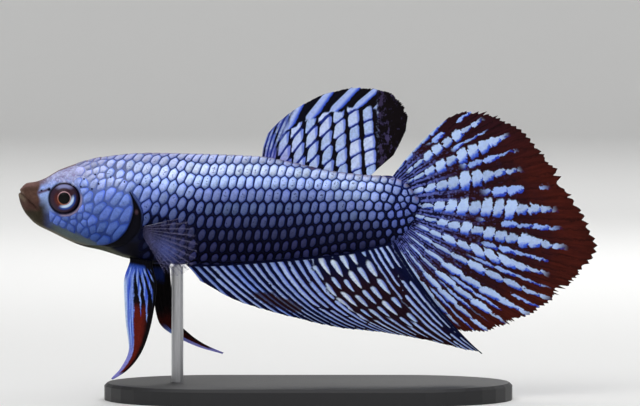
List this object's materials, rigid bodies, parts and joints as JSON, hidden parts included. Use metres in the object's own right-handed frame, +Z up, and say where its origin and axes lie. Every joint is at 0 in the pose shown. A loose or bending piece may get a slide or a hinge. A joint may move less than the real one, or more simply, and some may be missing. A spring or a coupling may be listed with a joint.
{
  "type": "betta fish model",
  "caption": "Still life-size model of a male betta fish, swimming level with its fins spread, held over a flat oval base by one thin rod.",
  "frame": {"origin": "on the floor, under the centre of the bounding box", "axes": "+Z up; the fish faces -X, its left flank faces -Y, and the model is longest along X"},
  "size_m": [0.068, 0.026, 0.0368],
  "materials": {
    "head_skin": "satin, metallic blue plates over a darker skin",
    "body_scales": "satin, metallic blue scales with near-black edges",
    "eye": "clear gloss over a dark iris",
    "banded_fin": "satin, pale blue patches on dark maroon and black",
    "pelvic_fin": "satin, brick red with a blue leading edge",
    "clear_fin": "thin and half clear, violet grey",
    "stand_base": "satin black",
    "stand_rod": "satin steel"
  },
  "bodies": {
    "root": {"head": "head_skin", "lower_jaw": "head_skin", "gill_cover_left": "head_skin", "gill_cover_right": "head_skin", "trunk": "body_scales", "tail": "body_scales", "eye_left": "eye", "eye_right": "eye", "dorsal_fin": "banded_fin", "tail_fin": "banded_fin", "anal_fin": "banded_fin", "pelvic_fin_left": "pelvic_fin", "pelvic_fin_right": "pelvic_fin", "pectoral_fin_left": "clear_fin", "pectoral_fin_right": "clear_fin", "stand_base": "stand_base", "stand_rod": "stand_rod"}
  },
  "joints": []
}
